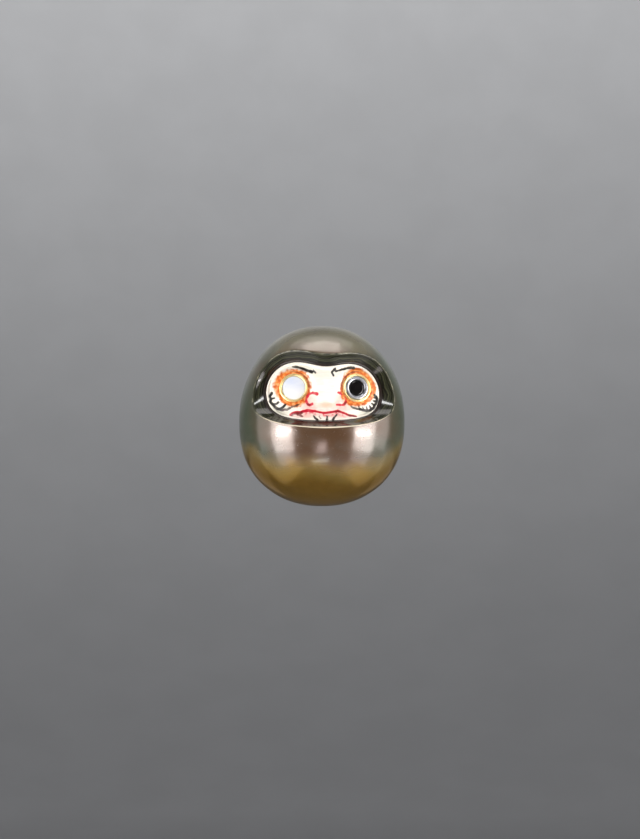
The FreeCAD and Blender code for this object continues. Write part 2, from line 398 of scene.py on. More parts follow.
def cut_nacre_material():
    """Polished cut through dark nacre, with growth layers parallel to the skin and painted shade
    at its foot.
    """
    n = Nodes("nacre_cut")
    place = n.position()
    from_centre = n.add("ShaderNodeVectorMath", operation="DISTANCE")
    from_centre.inputs[1].default_value = tuple(BEAD_CENTRE)
    n.link(place, from_centre.inputs[0])
    depth = from_centre.outputs["Value"]
    wobble = n.noise(place, 0.8, detail=2.0)
    layers = n.add("ShaderNodeTexNoise", noise_dimensions="1D")
    layers.inputs["Scale"].default_value = 9.0
    layers.inputs["Detail"].default_value = 4.0
    n.link(n.math("ADD", depth, n.math("MULTIPLY", wobble, 0.5)), layers.inputs["W"])
    tone = n.ramp(layers.outputs["Fac"], (0.3, rgba(22, 22, 14)), (0.5, rgba(38, 40, 28)),
                  (0.72, rgba(66, 68, 50)))
    # darker towards the conchiolin: the nacre's own dark inner layers, and painted shade at the
    # foot of the wall
    inner = n.range(depth, CONCHIOLIN_RADIUS, BEAD_RADIUS + 0.5, 1.0, 0.0)
    tone = n.mix(inner, tone, rgba(14, 8, 5))
    n.set(Base_Color=tone, Roughness=0.12, IOR=1.45)
    scratches = n.noise(place, 6.0, detail=3.0)
    n.bump(scratches, 0.08, 0.02)
    return n.material


def nacre_edge_material():
    """Edge of the nacre round the window: chipped and dull, with a painted highlight along the
    chin.
    """
    n = Nodes("nacre_edge")
    place = n.position()
    chips = n.noise(place, 2.0, detail=4.0)
    dull = n.ramp(chips, (0.4, rgba(44, 46, 34)), (0.7, rgba(128, 126, 104)))
    # painted highlight: pale cream along the chin's edge, where it catches the light from above
    pale = n.range(n.split(place)[2], 7.0, 6.3)
    tone = n.mix(pale, dull, rgba(206, 196, 172))
    n.set(Base_Color=tone, Roughness=0.3, IOR=1.45)
    return n.material


def conchiolin_material():
    """Dark brown organic layer between the bead and the nacre."""
    n = Nodes("conchiolin")
    place = n.position()
    mottle = n.noise(place, 3.0, detail=4.0)
    tone = n.ramp(mottle, (0.35, rgba(14, 6, 4)), (0.7, rgba(36, 18, 12)))
    n.set(Base_Color=tone, Roughness=0.3, IOR=1.4)
    return n.material


def shell_material():
    """Carved white shell; its paint and painted shade are a colour per vertex, alpha 1 where
    there is either.
    """
    n = Nodes("painted_shell")
    place = n.position()
    # the paint layer also holds painted shade
    paint = n.add("ShaderNodeVertexColor", layer_name="paint")
    grain = n.noise(n.stretch(place, 0.6, 0.6, 5.0), 2.0, detail=5.0, roughness=0.6)
    ground = n.ramp(grain, (0.3, rgba(240, 237, 226)), (0.75, rgba(228, 220, 204)))
    fleck = n.noise(place, 14.0, detail=3.0)
    pigment = n.mix(n.range(fleck, 0.3, 0.7, 0.0, 0.5), paint.outputs["Color"],
                    rgba(230, 215, 200), "MULTIPLY")
    tone = n.mix(paint.outputs["Alpha"], ground, pigment)
    n.set(Base_Color=tone, Roughness=n.range(fleck, 0.3, 0.7, 0.28, 0.42))
    n.set(Subsurface_Weight=0.1, Subsurface_Scale=0.1 * MM, Subsurface_Radius=(1.0, 0.7, 0.5))
    n.bump(fleck, 0.2, 0.01)
    return n.material


def metal_material(name, pale, deep, roughness):
    """Worn polished metal, with stains of the deeper tone and fine file marks."""
    n = Nodes(name)
    place = n.position()
    stain = n.noise(place, 3.5, detail=4.0)
    tone = n.mix(n.range(stain, 0.4, 0.75, 0.0, 0.6), pale, deep)
    n.set(Base_Color=tone, Metallic=1.0)
    n.set(Roughness=n.range(stain, 0.3, 0.7, roughness, roughness + 0.06))
    file_marks = n.noise(place, 22.0, detail=3.0)
    n.bump(file_marks, 0.05, 0.005)
    return n.material


def pearl_disc_material():
    """Blank disc of mother of pearl: bluish white, clouded, with painted shade at the top."""
    n = Nodes("pearl_disc")
    place = n.position()
    cloud = n.noise(n.stretch(place, 1.0, 1.0, 2.0), 1.1, detail=3.0, distortion=0.6)
    tone = n.ramp(cloud, (0.3, rgba(186, 197, 216)), (0.5, rgba(193, 202, 217)),
                  (0.7, rgba(201, 208, 218)))
    # painted shade: bluish grey towards the top, under the bezel's lip, whiter towards the
    # bottom
    low = n.range(n.split(place)[2], EYE_HEIGHT + 0.6, EYE_HEIGHT - 0.7)
    tone = n.mix(low, tone, rgba(224, 226, 224))
    n.set(Base_Color=tone, Roughness=0.3)
    n.bump(cloud, 0.1, 0.02)
    return n.material


def black_stone_material():
    """Glossy black stone with a faint brown cloud."""
    n = Nodes("black_stone")
    place = n.position()
    depth = n.noise(place, 5.0, detail=3.0)
    tone = n.ramp(depth, (0.4, rgba(8, 7, 8)), (0.8, rgba(26, 20, 20)))
    n.set(Base_Color=tone, Roughness=0.08, IOR=1.45)
    return n.material


def floor_material():
    """Pale grey paper with painted light: darker near the floor, paler up the sweep."""
    n = Nodes("pale_floor")
    place = n.position()
    sweep_top = 100.0
    # painted light: the ramp darkens the floor and brightens the sweep towards its top
    high = n.range(n.split(place)[2], -FLOOR_DROP, sweep_top, smooth=False)
    tone = n.ramp(high, (0.0, rgba(150, 151, 153)), (0.08, rgba(188, 189, 191)),
                  (0.28, rgba(178, 179, 181)), (0.48, rgba(182, 183, 185)),
                  (0.74, rgba(196, 197, 199)), (1.0, rgba(208, 209, 211)))
    tooth = n.noise(place, 0.08, detail=3.0)
    tone = n.mix(n.range(tooth, 0.3, 0.7, 0.0, 0.06), tone, rgba(120, 120, 120))
    n.set(Base_Color=tone, Roughness=0.9)
    return n.material


# ---------------------------------------------------------------- the pearl's layers

AROUND = 320
SKIN_ROWS = 150
INSIDE_ROWS = 40
WALL_ROWS = 14
EDGE_ROUNDING = 0.1

# The window's wall is a cove, hollowed away from a point WINDOW_RISE above the bead's centre.
COVE_DEPTH = 0.05
WINDOW_RISE = 1.5


def window_loops():
    """Rim on the pearl and foot on the bead, as matching loops of points."""
    return on_pearl(closed_spline(RIM, AROUND)), on_bead(closed_spline(FOOT, AROUND))


def around_back(start, end_radius, surface, rows):
    """Loops from the start loop round to a circle about the post hole, on a surface.

    The surface is a function from directions out of the bead's centre to points. A loop's
    points keep their own bearing about the Y axis, and spread evenly towards the back.
    """
    away = start - BEAD_CENTRE
    away /= np.linalg.norm(away, axis=1)[:, None]
    first = np.arccos(-away[:, 1])
    bearing = np.unwrap(np.arctan2(away[:, 2], away[:, 0]))
    turn = math.copysign(2 * math.pi, bearing[-1] - bearing[0])
    even = bearing[0] + turn * np.arange(len(start)) / len(start)
    last = math.pi - math.asin(end_radius)
    loops = []
    for row in range(rows):
        s = row / (rows - 1)
        angle = first + (last - first) * s
        mixed = bearing + (even - bearing) * smoothstep(0.0, 0.6, s)
        direction = np.stack([np.sin(angle) * np.cos(mixed), -np.cos(angle),
                              np.sin(angle) * np.sin(mixed)], 1)
        loops.append(surface(direction))
    return loops


def corner(before, sharp, after):
    """Loops that round a sharp edge, from before it to after it, without their ends."""
    rows = 6
    loops = []
    for row in range(1, rows):
        s = row / rows
        loops.append((1 - s) ** 2 * before + 2 * s * (1 - s) * sharp + s * s * after)
    return loops


def along(start, end, distance):
    """Points a distance from start towards end."""
    way = end - start
    return start + way / np.linalg.norm(way, axis=1)[:, None] * distance


def crossing(rim, foot, radius):
    """Where the lines from rim to foot meet a sphere about the bead's centre."""
    way = foot - rim
    origin = rim - BEAD_CENTRE
    a = (way**2).sum(1)
    b = 2 * (way * origin).sum(1)
    c = (origin**2).sum(1) - radius**2
    s = (-b - np.sqrt(b * b - 4 * a * c)) / (2 * a)
    return rim + way * s[:, None]


def sphere_surface(radius):
    """Surface for around_back: a sphere about the bead's centre."""
    return lambda direction: BEAD_CENTRE + direction * radius


def hole_ring(loop, y):
    """The post hole's circle at depth y, its points at the same bearings as the loop's."""
    bearing = np.arctan2(loop[:, 2] - BEAD_CENTRE[2], loop[:, 0])
    return np.stack([np.cos(bearing) * HOLE_RADIUS, np.full(len(loop), y),
                     np.sin(bearing) * HOLE_RADIUS + BEAD_CENTRE[2]], 1)


def ripple(point):
    """Gentle unevenness of grown nacre, in millimetres."""
    slow = noise.noise(Vector(point) * 0.28 + Vector((3.1, 7.7, 1.3)))
    quick = noise.noise(Vector(point) * 0.9 + Vector((9.2, 0.4, 5.6)))
    return 0.035 * slow + 0.008 * quick


def nacre_skin(rim):
    """Loops of the rippled outside, from the rounding of the window's edge to the hole."""
    hole_size = (HOLE_RADIUS + HOLE_FLARE) / PEARL_BACK
    rows_on_rounding = 3
    outside = around_back(rim, hole_size, out_to_pearl, SKIN_ROWS)
    just_behind = around_back(rim, hole_size, out_to_pearl, 4 * SKIN_ROWS)[4]
    skin = [along(rim, just_behind, EDGE_ROUNDING)] + outside[rows_on_rounding:]
    loops = []
    for loop in skin:
        away = loop - BEAD_CENTRE
        away /= np.linalg.norm(away, axis=1)[:, None]
        lift = np.array([ripple(point) for point in loop])
        loops.append(loop + away * lift[:, None])
    return loops


def window_wall(rim, inner_edge):
    """Loops of the cut wall, slightly hollow, from the rim's rounding in to the inner edge."""
    start = along(rim, inner_edge, EDGE_ROUNDING)
    outward = rim - BEAD_CENTRE
    outward[:, 2] -= WINDOW_RISE
    outward[:, 1] = 0
    outward /= np.linalg.norm(outward, axis=1)[:, None]
    loops = []
    for s in np.linspace(0, 1, WALL_ROWS):
        cove = COVE_DEPTH * math.sin(math.pi * s)
        loops.append(start + (inner_edge - start) * s + outward * cove)
    return loops


def make_nacre():
    """Shell of nacre: outside, hole, inside against the conchiolin, and the window's wall."""
    rim, foot = window_loops()
    inner_edge = crossing(rim, foot, CONCHIOLIN_RADIUS)
    loops = nacre_skin(rim)
    skin_count = len(loops)

    mouth = hole_ring(loops[-1], HOLE_MOUTH)
    bottom = hole_ring(loops[-1], math.sqrt(CONCHIOLIN_RADIUS**2 - HOLE_RADIUS**2))
    loops += [mouth, (mouth + bottom) / 2, bottom]
    inside = around_back(inner_edge, HOLE_RADIUS / CONCHIOLIN_RADIUS,
                         sphere_surface(CONCHIOLIN_RADIUS), INSIDE_ROWS)
    loops += inside[::-1][1:]

    wall = window_wall(rim, inner_edge)
    loops += wall[::-1][1:]
    edge_start = len(loops) + 1
    loops += corner(wall[0], rim, loops[0])

    materials = [nacre_material(), cut_nacre_material(), nacre_edge_material()]
    row_material = np.zeros(len(loops), int)
    row_material[skin_count:edge_start] = 1
    row_material[edge_start:] = 2
    obj = make_object("nacre", np.concatenate(loops), ring_quads(len(loops), AROUND),
                      materials, np.repeat(row_material, AROUND).tolist())
    return finish_piece(obj, "nacre_shell")


def make_conchiolin():
    """Thin shell between the bead and the nacre, a hair clear of both."""
    rim, foot = window_loops()
    outer_edge = crossing(rim, foot, CONCHIOLIN_RADIUS)
    outer = around_back(outer_edge, HOLE_RADIUS / CONCHIOLIN_RADIUS,
                        sphere_surface(CONCHIOLIN_RADIUS - SKIN_GAP), INSIDE_ROWS)
    inner = around_back(foot, HOLE_RADIUS / BEAD_RADIUS,
                        sphere_surface(BEAD_RADIUS + SKIN_GAP), INSIDE_ROWS)
    loops = outer + inner[::-1]
    obj = make_object("conchiolin", np.concatenate(loops), ring_quads(len(loops), AROUND),
                      [conchiolin_material()])
    return finish_piece(obj, "conchiolin_layer")


# ---------------------------------------------------------------- the eyes' places


def eye_frame(side):
    """Centre of a bezel's front, the way it looks, and two directions across it."""
    look = np.array([side * math.sin(EYE_TURN_OUT) * math.cos(EYE_TURN_UP),
                     -math.cos(EYE_TURN_OUT) * math.cos(EYE_TURN_UP),
                     math.sin(EYE_TURN_UP)])
    across = np.cross(look, [0, 0, 1])
    across /= np.linalg.norm(across)
    up = np.cross(across, look)
    centre = np.array([EYE_OFFSET + side * EYE_SPACING / 2, -EYE_FRONT, EYE_HEIGHT])
    return centre, look, across, up


def turned_piece(name, node, side, behind, profile, material):
    """Solid turned about an eye's axis from a closed (radius, height) outline.

    An outline that starts and ends on the axis gives a full disc, closed by two fans. A point
    part of the way up each straight side keeps its smooth shading straight.
    """
    centre, look, across, up = eye_frame(side)
    base = centre - look * behind
    full = profile[0][0] == 0
    rings = profile[1:-1] if full else profile
    around = 144
    angle = np.arange(around) * 2 * math.pi / around
    loops = []
    for radius, height in rings:
        ring = np.outer(np.cos(angle), across) + np.outer(np.sin(angle), up)
        loops.append(base + look * height + ring * radius)
    faces = ring_quads(len(loops), around, closed=not full)
    if full:
        faces += end_fans(len(loops), around)
        loops.append([base + look * profile[0][1], base + look * profile[-1][1]])
    obj = make_object(name, np.concatenate(loops), faces, [material])
    return finish_piece(obj, node)


def arc(radius, height, size, start, end, steps=6):
    """Points of an arc in a profile, by its centre, size and angles in degrees."""
    points = []
    for i in range(steps + 1):
        angle = math.radians(start + (end - start) * i / steps)
        points.append((radius + size * math.cos(angle), height + size * math.sin(angle)))
    return points


def crowned_top(flat, height, crown, steps):
    """Profile points from just inside a top's edge to its middle, crown higher than the edge."""
    points = []
    for i in range(steps - 1, -1, -1):
        s = i / steps
        points.append((flat * s, height - crown * s * s))
    return points


def make_bezel(side_name, side, gold):
    """Gold cup with a rounded lip and a hole in its floor."""
    edge = 0.08
    floor_hole = 0.4
    profile = [(floor_hole, 0.0), (BEZEL_RADIUS, 0.0), (BEZEL_RADIUS, 0.6)]
    profile += arc(BEZEL_RADIUS - edge, BEZEL_LENGTH - edge, edge, 0, 90)
    profile += arc(BEZEL_BORE + edge, BEZEL_LENGTH - edge, edge, 90, 180)
    profile += [(BEZEL_BORE, 0.8), (BEZEL_BORE, BEZEL_FLOOR), (floor_hole, BEZEL_FLOOR)]
    return turned_piece(f"{side_name}_bezel", f"{side_name}_eye_bezel", side,
                        BEZEL_LENGTH, profile, gold)


def make_disc():
    """Blank disc, crowned a little, in the doll's right eye."""
    crown = 0.03
    edge = 0.05
    flat = INLAY_RADIUS - edge
    profile = [(0, 0), (INLAY_RADIUS, 0), (INLAY_RADIUS, 0.5)]
    profile += arc(flat, DISC_THICKNESS - edge - crown, edge, 0, 80)
    profile += crowned_top(flat, DISC_THICKNESS, crown, 5)
    return turned_piece("blank_disc", "right_eye_disc", -1,
                        BEZEL_LENGTH - BEZEL_FLOOR, profile, pearl_disc_material())


def make_iris_ring():
    """Silver ring in the doll's left eye."""
    edge = 0.1
    profile = [(IRIS_BORE, 0.0), (INLAY_RADIUS, 0.0), (INLAY_RADIUS, 0.5)]
    profile += arc(INLAY_RADIUS - edge, IRIS_THICKNESS - edge, edge, 0, 90)
    profile += arc(IRIS_BORE + edge, IRIS_THICKNESS - edge, edge, 90, 180)
    profile += [(IRIS_BORE, 0.5)]
    silver = metal_material("silver", rgba(190, 192, 198), rgba(164, 166, 172), 0.28)
    return turned_piece("iris_ring", "left_eye_iris_ring", 1,
                        BEZEL_LENGTH - BEZEL_FLOOR, profile, silver)


def make_pupil():
    """Black stone in the silver ring, nearly flat, with a rounded edge."""
    crown = 0.01
    flat = PUPIL_RADIUS - PUPIL_ROUNDING
    profile = [(0, 0), (PUPIL_RADIUS, 0), (PUPIL_RADIUS, 0.5)]
    profile += arc(flat, PUPIL_HEIGHT - crown - PUPIL_ROUNDING, PUPIL_ROUNDING, 0, 87, steps=12)
    profile += crowned_top(flat, PUPIL_HEIGHT, crown, 4)
    return turned_piece("pupil", "left_eye_pupil", 1,
                        BEZEL_LENGTH - BEZEL_FLOOR, profile, black_stone_material())


# ---------------------------------------------------------------- the carved face

FACE_MIDDLE = np.array([0.0, 8.55])
FACE_AROUND = 720
FACE_ROWS = 150
BEAD_BACK_ROWS = 24

# The brush spreads each stroke this much past its half width, and its paint stands proud.
BRUSH_SPREAD = 1.65
PAINT_THICKNESS = 0.012

# The line between the lips, (x, z), from the doll's right to its left.
MOUTH = [(-2.58, 6.90), (-2.28, 7.05), (-1.80, 7.08), (-1.40, 7.21), (-0.86, 7.17),
         (-0.40, 7.06), (0.05, 7.03), (0.40, 7.08), (0.90, 7.18), (1.37, 7.02),
         (1.78, 6.87), (2.33, 6.77)]


def mound(x, z, centre, half_size, height):
    """Smooth oval swelling."""
    q = ((x - centre[0]) / half_size[0]) ** 2 + ((z - centre[1]) / half_size[1]) ** 2
    return height * np.clip(1 - q, 0, None) ** 2


def open_spline(points, count):
    """Points on a smooth curve through the given ones (Catmull-Rom)."""
    p = np.array(points, float)
    if len(p) == 2:
        return p[0] + (p[1] - p[0]) * np.linspace(0, 1, count)[:, None]
    p = np.vstack([2 * p[0] - p[1], p, 2 * p[-1] - p[-2]])
    at = np.linspace(0, len(p) - 3 - 1e-9, count)
    i = at.astype(int)
    s = (at - i)[:, None]
    a, b, c, d = p[i], p[i + 1], p[i + 2], p[i + 3]
    return 0.5 * (2 * b + (c - a) * s + (2 * a - 5 * b + 4 * c - d) * s * s
                  + (3 * b - a - 3 * c + d) * s**3)


def mouth_height(x):
    """Z of the line between the lips."""
    line = open_spline(MOUTH, 60)
    return np.interp(x, line[:, 0], line[:, 1])


def stroke_cover(x, z, grit, points, start, end):
    """How much a brush stroke covers each point; its half width runs from start to end.

    Grit, from 0 to 1, makes the stroke's edges ragged.
    """
    line = open_spline(points, 8 * len(points))
    cover = np.zeros(len(x))
    soft = 0.02
    ragged = 0.04 * (grit - 0.5)
    spans = len(line) - 1
    for i in range(spans):
        a, b = line[i], line[i + 1]
        way = b - a
        s = np.clip(((x - a[0]) * way[0] + (z - a[1]) * way[1]) / (way @ way), 0, 1)
        gap = np.hypot(x - a[0] - way[0] * s, z - a[1] - way[1] * s)
        half = start + (end - start) * (i + s) / spans
        cover = np.maximum(cover, 1 - smoothstep(half - soft, half + soft, gap - ragged))
    return cover


def face_height(x, z):
    """Y of the carved face."""
    # the nose and its bridge, then on each side a nostril, a brow and a cheek
    rise = mound(x, z, (0, 8.12), (0.95, 0.68), 0.26)
    rise += mound(x, z, (0, 9.2), (0.8, 1.5), 0.12)
    for side in (-1, 1):
        rise += mound(x, z, (side * 1.0, 8.1), (0.5, 0.5), 0.16)
        rise += mound(x, z, (side * 1.6, 10.32), (1.2, 0.4), 0.05)
        rise += mound(x, z, (side * 2.6, 7.3), (1.0, 0.5), 0.07)

    # the lower lip, the upper lip and the groove between them
    above_mouth = z - mouth_height(x)
    within = 1 - smoothstep(2.1, 2.6, np.abs(x))
    rise += within * 0.07 * np.exp(-((above_mouth + 0.22) / 0.16) ** 2)
    rise += within * 0.05 * np.exp(-((above_mouth - 0.16) / 0.12) ** 2)
    rise -= within * 0.06 * np.exp(-((above_mouth + 0.02) / 0.05) ** 2)
    y = sphere_front(x, z, BEAD_RADIUS - FACE_DEPTH) - rise

    # a flat round each bezel, and a pit under it
    flat_end, flat_blend = 1.2, 1.75
    pit_depth, pit_floor_end, pit_wall_end = 0.5, 0.9, 1.0
    for side in (-1, 1):
        centre, look, _, _ = eye_frame(side)
        base = centre - look * BEZEL_STAND_OUT
        plane = base[1] - ((x - base[0]) * look[0] + (z - base[2]) * look[2]) / look[1]
        gap = np.hypot(x - base[0], z - base[2])
        y = y + (plane - y) * (1 - smoothstep(flat_end, flat_blend, gap))
        y = y + pit_depth * (1 - smoothstep(pit_floor_end, pit_wall_end, gap))
    return y


RED, DARK_RED = (198, 16, 50), (104, 6, 12)
BLACK, BROWN = (18, 12, 10), (66, 42, 30)
GREY = (112, 108, 96)

# Brush strokes: tint, (x, z) points, half width at the start and at the end, strength.
STROKES = [
    # nostrils
    (RED, [(-0.62, 8.44), (-0.92, 8.55)], 0.07, 0.06, 0.9),
    (RED, [(-0.92, 8.55), (-1.16, 8.40), (-1.36, 8.15), (-1.40, 7.90), (-1.30, 7.68),
           (-1.14, 7.61), (-0.98, 7.70)], 0.05, 0.06, 0.9),
    (DARK_RED, [(-1.32, 7.70), (-1.18, 7.62)], 0.045, 0.045, 0.6),
    (RED, [(1.00, 8.54), (1.27, 8.41)], 0.055, 0.04, 0.9),
    (RED, [(1.44, 8.26), (1.55, 8.06), (1.56, 7.86)], 0.025, 0.045, 0.8),
    (RED, [(1.56, 7.86), (1.44, 7.68), (1.15, 7.62), (0.88, 7.64)], 0.065, 0.045, 0.9),
    (DARK_RED, [(1.55, 7.80), (1.47, 7.70)], 0.05, 0.05, 0.7),
    # mouth
    (RED, MOUTH[:4], 0.05, 0.07, 0.95),
    (RED, MOUTH[3:6], 0.07, 0.05, 0.95),
    (RED, MOUTH[5:9], 0.045, 0.06, 0.95),
    (RED, MOUTH[8:], 0.06, 0.04, 0.95),
    (DARK_RED, [(-2.50, 6.86), (-2.20, 6.98), (-1.75, 7.03)], 0.04, 0.06, 0.8),
    (DARK_RED, [(-2.00, 6.90), (-1.70, 6.78)], 0.06, 0.045, 0.9),
    (DARK_RED, [(0.75, 7.13), (1.05, 7.15)], 0.04, 0.045, 0.6),
    (DARK_RED, [(1.75, 6.87), (2.32, 6.76)], 0.04, 0.035, 0.75),
    # brows
    (GREY, [(-1.95, 10.32), (-1.45, 10.18), (-1.10, 10.05)], 0.05, 0.05, 0.45),
    (BLACK, [(-2.34, 10.48), (-1.95, 10.44), (-1.50, 10.29), (-0.95, 10.09)],
     0.045, 0.07, 0.95),
    (BLACK, [(-0.84, 10.22), (-0.70, 10.03)], 0.035, 0.04, 0.85),
    (BLACK, [(2.20, 10.41), (1.85, 10.40), (1.40, 10.30), (0.85, 10.15)],
     0.065, 0.045, 0.95),
    (BLACK, [(0.80, 10.34), (0.55, 10.07), (0.66, 9.82)], 0.055, 0.045, 0.95),
    # cheek whiskers, right of the doll and then left
    (BLACK, [(-3.90, 8.52), (-4.05, 8.28), (-3.98, 8.05), (-4.00, 7.87), (-3.82, 7.65),
             (-3.60, 7.40), (-3.35, 7.30), (-3.12, 7.25)], 0.06, 0.07, 0.95),
    (BROWN, [(-3.12, 7.25), (-2.80, 7.29), (-2.60, 7.40)], 0.06, 0.05, 0.85),
    (BLACK, [(-4.00, 8.07), (-3.72, 8.14)], 0.05, 0.035, 0.9),
    (BLACK, [(-3.84, 7.66), (-3.60, 7.72), (-3.42, 7.83)], 0.06, 0.045, 0.9),
    (BLACK, [(-3.35, 7.30), (-3.15, 7.45), (-2.94, 7.64)], 0.07, 0.045, 0.95),
    (BROWN, [(-2.46, 7.48), (-2.15, 7.57), (-1.92, 7.68)], 0.05, 0.035, 0.85),
    (BLACK, [(3.76, 8.37), (3.98, 8.12), (3.95, 7.86), (3.80, 7.60), (3.66, 7.38),
             (3.44, 7.24), (3.15, 7.20), (2.88, 7.24), (2.62, 7.32)], 0.06, 0.065, 0.95),
    (BLACK, [(2.62, 7.32), (2.30, 7.36), (1.97, 7.49)], 0.06, 0.045, 0.85),
    (BLACK, [(3.93, 8.14), (3.74, 8.16)], 0.05, 0.035, 0.9),
    (BLACK, [(3.90, 7.88), (3.66, 7.95)], 0.055, 0.04, 0.9),
    (BLACK, [(3.76, 7.58), (3.55, 7.74)], 0.055, 0.04, 0.9),
    (BLACK, [(3.52, 7.32), (3.38, 7.56)], 0.055, 0.04, 0.9),
    (BLACK, [(3.22, 7.24), (3.12, 7.48)], 0.05, 0.035, 0.9),
    (BLACK, [(2.90, 7.26), (2.84, 7.46)], 0.05, 0.035, 0.85),
    (BLACK, [(2.58, 7.34), (2.54, 7.50)], 0.045, 0.03, 0.8),
    # chin whiskers
    (BLACK, [(-0.87, 6.78), (-0.62, 6.52)], 0.04, 0.055, 0.95),
    (BROWN, [(-0.46, 6.76), (-0.36, 6.62)], 0.03, 0.03, 0.6),
    (BLACK, [(0.12, 6.76), (0.11, 6.52)], 0.04, 0.055, 0.95),
    (BLACK, [(0.85, 6.88), (0.56, 6.54)], 0.04, 0.055, 0.95),
]


def face_paint_and_shade(x, z, grit):
    """Colour and cover of the paint and painted shade at each point of the face, and the cover
    of the paint's lines.
    """
    bare_shell = linear(236, 230, 214)
    colour = np.tile(bare_shell, (len(x), 1))
    cover = np.zeros(len(x))

    def lay(tint, amount):
        """Paint a layer of the tint over what is there."""
        amount = np.clip(amount, 0, 1)
        total = cover + amount * (1 - cover)
        share = np.where(total > 0, amount / np.maximum(total, 1e-6), 0)[:, None]
        colour[:] = colour + (linear(*tint) - colour) * share
        cover[:] = total

    # pink washes round the nose and mouth
    for centre, half_size, amount in (
        ((0.0, 7.45), (2.6, 0.75), 0.35), ((-1.25, 7.95), (0.7, 0.8), 0.45),
        ((1.3, 7.95), (0.8, 0.85), 0.55), ((-1.2, 7.4), (0.8, 0.4), 0.5),
        ((1.4, 7.35), (0.9, 0.4), 0.5), ((-1.6, 6.85), (1.3, 0.35), 0.5),
        ((1.0, 6.85), (1.9, 0.35), 0.5),
    ):
        lay((226, 146, 138), mound(x, z, centre, half_size, amount) * (0.7 + 0.5 * grit))
    # painted shade: beige under the nose tip
    lay((230, 180, 130), mound(x, z, (0.1, 7.62), (0.9, 0.28), 0.5))

    # pink lips under the mouth line, and painted shade in grey green at the foot of the cheeks
    under = mouth_height(x) - z
    lips = smoothstep(-0.05, 0.05, under) * (1 - smoothstep(0.12, 0.4, under))
    lips = lips * (1 - smoothstep(1.2, 2.1, np.abs(x + 0.2)))
    lay((208, 84, 94), lips * (0.2 + 0.8 * smoothstep(0.4, 0.7, grit)))
    for centre, half_size in (((-3.3, 7.1), (1.1, 0.6)), ((3.1, 7.0), (1.0, 0.45))):
        lay((160, 164, 146), mound(x, z, centre, half_size, 0.6))

    # orange round the eyes, stippled dark and pale, with a brown contour over each eye
    for side in (-1, 1):
        dx, dz = x - EYE_OFFSET - side * EYE_SPACING / 2, z - EYE_HEIGHT
        gap = np.hypot(dx, dz)
        bearing = np.arctan2(dz, dx * side)
        reach = 1.43 + 0.05 * np.cos(bearing * 3 + side) + 0.12 * (grit - 0.5)
        reach = reach - 0.14 * np.exp(-((np.abs(bearing) - 2.9) / 0.6) ** 2)
        ring = 1 - smoothstep(reach - 0.12, reach + 0.09, gap)
        lay((222, 124, 40), ring * (0.85 + 0.4 * grit))
        lay((186, 78, 22), ring * smoothstep(0.5, 0.8, grit) * 0.8)
        lay((240, 180, 116), ring * smoothstep(0.48, 0.2, grit) * 0.7)
        contour = np.exp(-((gap - 1.2) / 0.06) ** 2)
        contour = contour * smoothstep(0.35, 0.9, np.sin(bearing - 0.7))
        lay((126, 48, 14), contour * (0.7 + 0.6 * grit))

    line_cover = np.zeros(len(x))
    for tint, points, start, end, strength in STROKES:
        mask = stroke_cover(x, z, grit, points, start * BRUSH_SPREAD, end * BRUSH_SPREAD)
        lay(tint, mask * strength * (0.95 + 0.2 * grit))
        line_cover = np.maximum(line_cover, mask)
    return colour, cover, line_cover


def paint_grit(flat):
    """Stipple from 0 to 1 at each (x, z) point of the face: blotches with finer specks."""
    grit = np.array([0.5 + 0.9 * noise.noise(Vector((a * 4.5, b * 4.5, 2.0)))
                     + 0.35 * noise.noise(Vector((a * 13, b * 13, 8.0)))
                     for a, b in flat])
    return np.clip(grit, 0, 1)


def make_bead():
    """Bead with the carved face in front, in shrinking copies of the foot's outline."""
    outline = closed_spline(FOOT, FACE_AROUND)
    reach = np.linalg.norm(outline - FACE_MIDDLE, axis=1)
    fractions = np.linspace(1, 0, FACE_ROWS + 1)[:-1]
    flat = np.concatenate([FACE_MIDDLE + (outline - FACE_MIDDLE) * s for s in fractions])
    x, z = flat[:, 0], flat[:, 1]
    colour, cover, line_cover = face_paint_and_shade(x, z, paint_grit(flat))
    y = face_height(x, z) + PAINT_THICKNESS * line_cover

    # the carving starts a little inside the edge, which lies on the bead
    inset = np.concatenate([reach * (1 - s) for s in fractions])
    edge_share = 1 - smoothstep(0.05, 0.3, inset)
    y = y + (sphere_front(x, z, BEAD_RADIUS) - y) * edge_share

    rows = list(np.stack([x, y, z], 1).reshape(FACE_ROWS, FACE_AROUND, 3))
    back = around_back(rows[0], HOLE_RADIUS / BEAD_RADIUS,
                       sphere_surface(BEAD_RADIUS - SKIN_GAP), BEAD_BACK_ROWS)[1:]
    loops = rows[::-1] + back + [hole_ring(back[-1], HOLE_END)]
    face_tip = [FACE_MIDDLE[0], rows[-1][:, 1].mean(), FACE_MIDDLE[1]]
    hole_tip = [0, HOLE_END, BEAD_CENTRE[2]]
    vertices = np.concatenate(loops + [[face_tip, hole_tip]])
    faces = ring_quads(len(loops), FACE_AROUND, closed=False)
    faces += end_fans(len(loops), FACE_AROUND)
    obj = make_object("carved_bead", vertices, faces, [shell_material()])

    shade = np.tile((*linear(245, 240, 228), 0), (len(vertices), 1))
    painted = np.column_stack([colour, cover]).reshape(FACE_ROWS, FACE_AROUND, 4)
    shade[:len(flat)] = painted[::-1].reshape(-1, 4)
    attribute = obj.data.color_attributes.new("paint", "FLOAT_COLOR", "POINT")
    attribute.data.foreach_set("color", shade.ravel())
    return finish_piece(obj, "bead_nucleus")


# ---------------------------------------------------------------- stage, lights, camera


